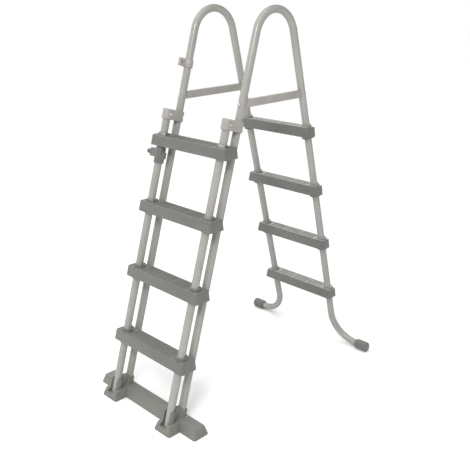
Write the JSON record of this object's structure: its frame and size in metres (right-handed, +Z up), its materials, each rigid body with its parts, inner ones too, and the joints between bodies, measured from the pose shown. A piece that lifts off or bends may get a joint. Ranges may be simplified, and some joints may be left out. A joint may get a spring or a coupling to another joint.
{
  "type": "pool ladder",
  "caption": "A-frame ladder for an above-ground pool, with hairpin handrails, moulded treads, splayed pool feet and a lift-out safety ladder on its outer side.",
  "frame": {"origin": "on the floor, under the middle of the ladder's bounding box", "axes": "+Z up; +X across the treads, with left at -X; +Y from the outer side, where the safety ladder is, to the pool side"},
  "size_m": [0.8286, 1.325, 1.8174],
  "materials": {
    "powder_coat": "satin warm grey powder coat",
    "bracket_plastic": "light grey moulded plastic",
    "tread_plastic": "fine-textured dark grey moulded plastic",
    "base_plastic": "fine-textured green-grey moulded plastic",
    "cap_plastic": "dark grey moulded plastic",
    "bright_steel": "bright plated steel"
  },
  "bodies": {
    "a_frame": {"left_handrail": "powder_coat", "left_outer_leg": "powder_coat", "left_pool_leg": "powder_coat", "left_foot_cap": "cap_plastic", "left_spreader_bar": "bracket_plastic", "left_outer_spreader_bolt": "bright_steel", "left_outer_barrel_nut": "bright_steel", "left_pool_spreader_bolt": "bright_steel", "left_pool_barrel_nut": "bright_steel", "left_base_screw": "bright_steel", "right_handrail": "powder_coat", "right_outer_leg": "powder_coat", "right_pool_leg": "powder_coat", "right_foot_cap": "cap_plastic", "right_spreader_bar": "bracket_plastic", "right_outer_spreader_bolt": "bright_steel", "right_outer_barrel_nut": "bright_steel", "right_pool_spreader_bolt": "bright_steel", "right_pool_barrel_nut": "bright_steel", "right_base_screw": "bright_steel", "pool_tread_1": "tread_plastic", "pool_tread_screw_1_left": "bright_steel", "pool_tread_screw_1_right": "bright_steel", "pool_tread_2": "tread_plastic", "pool_tread_screw_2_left": "bright_steel", "pool_tread_screw_2_right": "bright_steel", "pool_tread_3": "tread_plastic", "pool_tread_screw_3_left": "bright_steel", "pool_tread_screw_3_right": "bright_steel", "pool_tread_4": "tread_plastic", "pool_tread_screw_4_left": "bright_steel", "pool_tread_screw_4_right": "bright_steel", "base_step": "base_plastic", "raised_stop_clip": "bracket_plastic"},
    "safety_ladder": {"left_guard_tube": "powder_coat", "left_tube_plug": "cap_plastic", "left_top_bracket": "bracket_plastic", "left_bracket_bolt": "bright_steel", "left_bracket_nut": "bright_steel", "right_guard_tube": "powder_coat", "right_tube_plug": "cap_plastic", "right_top_bracket": "bracket_plastic", "right_bracket_bolt": "bright_steel", "right_bracket_nut": "bright_steel", "safety_tread_1": "tread_plastic", "safety_tread_screw_1_left": "bright_steel", "safety_tread_screw_1_right": "bright_steel", "safety_tread_2": "tread_plastic", "safety_tread_screw_2_left": "bright_steel", "safety_tread_screw_2_right": "bright_steel", "safety_tread_3": "tread_plastic", "safety_tread_screw_3_left": "bright_steel", "safety_tread_screw_3_right": "bright_steel", "safety_tread_4": "tread_plastic", "safety_tread_screw_4_left": "bright_steel", "safety_tread_screw_4_right": "bright_steel", "latch_housing": "tread_plastic"},
    "latch_plunger": {"latch_knob": "tread_plastic", "latch_pin": "bright_steel", "latch_spring": "bright_steel"}
  },
  "joints": [
    {"name": "safety_ladder_lift", "type": "slide", "parent": "a_frame", "child": "safety_ladder", "axis": [0, 0.236, 0.9718], "range_m": [0, 0.203]},
    {"name": "latch_pull", "type": "slide", "parent": "safety_ladder", "child": "latch_plunger", "axis": [-1, 0, 0], "range_m": [0, 0.008], "stiffness_N_per_m": 400, "springref_m": -0.012, "deforming": ["latch_spring"]}
  ]
}
